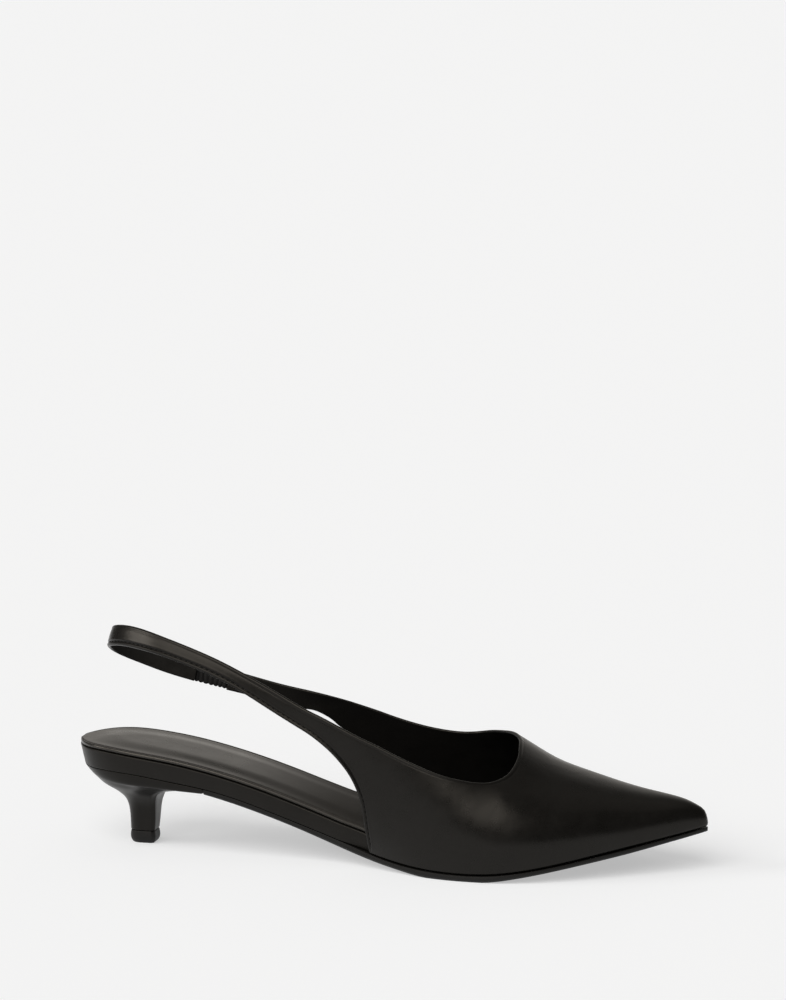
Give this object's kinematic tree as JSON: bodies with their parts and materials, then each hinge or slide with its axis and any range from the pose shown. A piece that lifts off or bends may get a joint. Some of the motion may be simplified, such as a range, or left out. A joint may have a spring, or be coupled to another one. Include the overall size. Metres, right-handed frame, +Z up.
{
  "type": "kitten heel slingback shoe",
  "caption": "Pointed-toe kitten heel slingback with a plain vamp, a cut-away quarter on both sides and a slim strap with a gathered elastic.",
  "frame": {"origin": "centre of the bounding box on the floor", "axes": "+X towards the toe, +Y towards the medial side, +Z up"},
  "size_m": [0.267, 0.0802, 0.0951],
  "materials": {
    "upper_leather": "smooth, semi-matt, black",
    "elastic": "gathered, matt, black",
    "sock_lining": "padded, soft satin, very dark grey",
    "rand_leather": "wrapped, semi-matt, black",
    "sole_rubber": "thin, matt, black",
    "heel_cover": "smooth, semi-matt, black",
    "top_piece_rubber": "matt, black"
  },
  "bodies": {
    "root": {"upper": "upper_leather", "strap_elastic": "elastic", "insole_sock": "sock_lining", "insole_board": "rand_leather", "outsole": "sole_rubber", "heel": "heel_cover", "heel_top_piece": "top_piece_rubber"}
  },
  "joints": []
}
